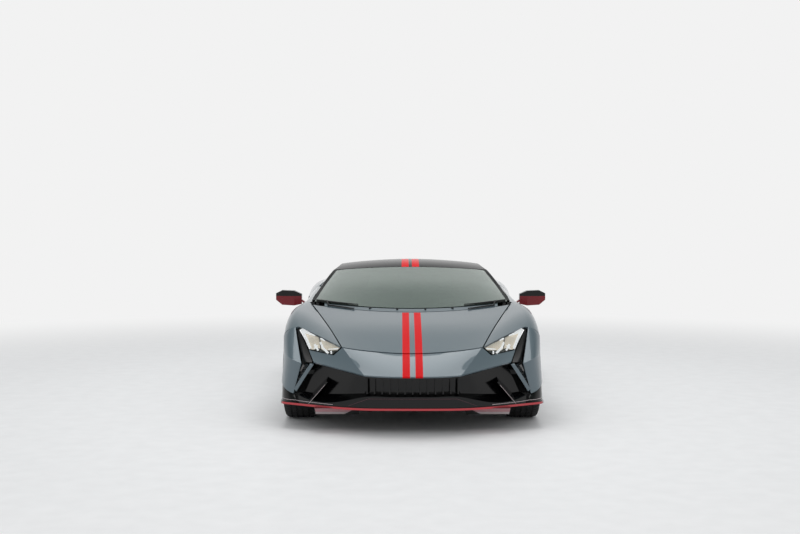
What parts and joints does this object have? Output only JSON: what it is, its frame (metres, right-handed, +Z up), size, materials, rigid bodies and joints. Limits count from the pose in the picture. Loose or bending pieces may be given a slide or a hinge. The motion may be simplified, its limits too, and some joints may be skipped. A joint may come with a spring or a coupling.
{
  "type": "mid-engined two-seat sports car",
  "caption": "Low wedge-shaped two-seat sports car with opening doors, front and engine lids, steered front wheels and free-rolling wheels.",
  "frame": {"origin": "on the floor, midway between the sides and between nose and tail", "axes": "+X to the car's own left, nose towards -Y, +Z up"},
  "size_m": [2.224, 4.537, 1.1655],
  "materials": {
    "body_paint": "gloss paint",
    "black_paint": "gloss",
    "black_trim": "satin",
    "glass": "clear",
    "dark_glass": "tinted",
    "lamp": "clear",
    "tail_lamp": "clear red",
    "frame_metal": "cast",
    "steel": "brushed",
    "liner": "matt",
    "rim": "satin",
    "tyre": "rubber",
    "seat_hide": "hide",
    "interior": "soft touch"
  },
  "bodies": {
    "chassis": {"floor_pan": "black_trim", "cabin_tub": "frame_metal", "front_frame": "frame_metal", "rear_frame": "frame_metal", "front_arch_liners": "liner", "rear_arch_liners": "liner", "engine": "steel", "front_suspension": "frame_metal", "rear_suspension": "frame_metal", "seats": "seat_hide", "dashboard": "interior", "nose_panel": "body_paint", "bumper_corners": "body_paint", "front_intake": "black_paint", "splitter": "black_paint", "headlamps": "lamp", "front_wings": "body_paint", "cowl": "body_paint", "windscreen": "glass", "windscreen_pillars": "black_paint", "roof": "black_paint", "sail_panels": "dark_glass", "rear_window": "glass", "rear_quarters": "body_paint", "side_sills": "black_paint", "rear_deck": "body_paint", "tail_panel": "black_trim", "tail_lamps": "tail_lamp", "rear_bumper": "body_paint", "diffuser": "black_trim", "exhaust": "steel"},
    "hood": {"hood": "body_paint"},
    "engine_lid": {"engine_lid": "black_paint"},
    "steering_wheel": {"steering_wheel": "interior"},
    "door_left": {"door_left": "body_paint", "door_glass_left": "dark_glass", "mirror_left": "black_paint"},
    "knuckle_left": {"front_knuckle_left": "frame_metal"},
    "front_wheel_left": {"front_rim_left": "rim", "front_tyre_left": "tyre"},
    "rear_wheel_left": {"rear_rim_left": "rim", "rear_tyre_left": "tyre"},
    "door_right": {"door_right": "body_paint", "door_glass_right": "dark_glass", "mirror_right": "black_paint"},
    "knuckle_right": {"front_knuckle_right": "frame_metal"},
    "front_wheel_right": {"front_rim_right": "rim", "front_tyre_right": "tyre"},
    "rear_wheel_right": {"rear_rim_right": "rim", "rear_tyre_right": "tyre"}
  },
  "joints": [
    {"name": "door_left_hinge", "type": "hinge", "parent": "chassis", "child": "door_left", "pos_m": [0.896, -0.8455, 0.63], "axis": [0, 0, -1], "range_deg": [0, 62]},
    {"name": "door_right_hinge", "type": "hinge", "parent": "chassis", "child": "door_right", "pos_m": [-0.896, -0.8455, 0.63], "axis": [0, 0, 1], "range_deg": [0, 62]},
    {"name": "hood_hinge", "type": "hinge", "parent": "chassis", "child": "hood", "pos_m": [0, -0.8585, 0.8], "axis": [-1, 0, 0], "range_deg": [0, 50]},
    {"name": "engine_lid_hinge", "type": "hinge", "parent": "chassis", "child": "engine_lid", "pos_m": [0, 0.5785, 1.04], "axis": [1, 0, 0], "range_deg": [0, 48]},
    {"name": "steer_left", "type": "hinge", "parent": "chassis", "child": "knuckle_left", "pos_m": [0.794, -1.3335, 0.3275], "axis": [0, 0, 1], "range_deg": [-32, 32]},
    {"name": "steer_right", "type": "hinge", "parent": "chassis", "child": "knuckle_right", "pos_m": [-0.794, -1.3335, 0.3275], "axis": [0, 0, 1], "range_deg": [-32, 32]},
    {"name": "steering_wheel_turn", "type": "hinge", "parent": "chassis", "child": "steering_wheel", "pos_m": [0.375, -0.4835, 0.69], "axis": [0, 0.9135, 0.4067], "range_deg": [-420, 420]},
    {"name": "front_wheel_left_spin", "type": "hinge", "parent": "knuckle_left", "child": "front_wheel_left", "pos_m": [0.834, -1.3335, 0.3275], "axis": [1, 0, 0], "continuous": true},
    {"name": "front_wheel_right_spin", "type": "hinge", "parent": "knuckle_right", "child": "front_wheel_right", "pos_m": [-0.834, -1.3335, 0.3275], "axis": [1, 0, 0], "continuous": true},
    {"name": "rear_wheel_left_spin", "type": "hinge", "parent": "chassis", "child": "rear_wheel_left", "pos_m": [0.81, 1.2865, 0.3455], "axis": [1, 0, 0], "continuous": true},
    {"name": "rear_wheel_right_spin", "type": "hinge", "parent": "chassis", "child": "rear_wheel_right", "pos_m": [-0.81, 1.2865, 0.3455], "axis": [1, 0, 0], "continuous": true}
  ],
  "couplings": [
    {"joint": "steer_left", "follows": "steer_right", "ratio": 1},
    {"joint": "steering_wheel_turn", "follows": "steer_right", "ratio": 13}
  ]
}
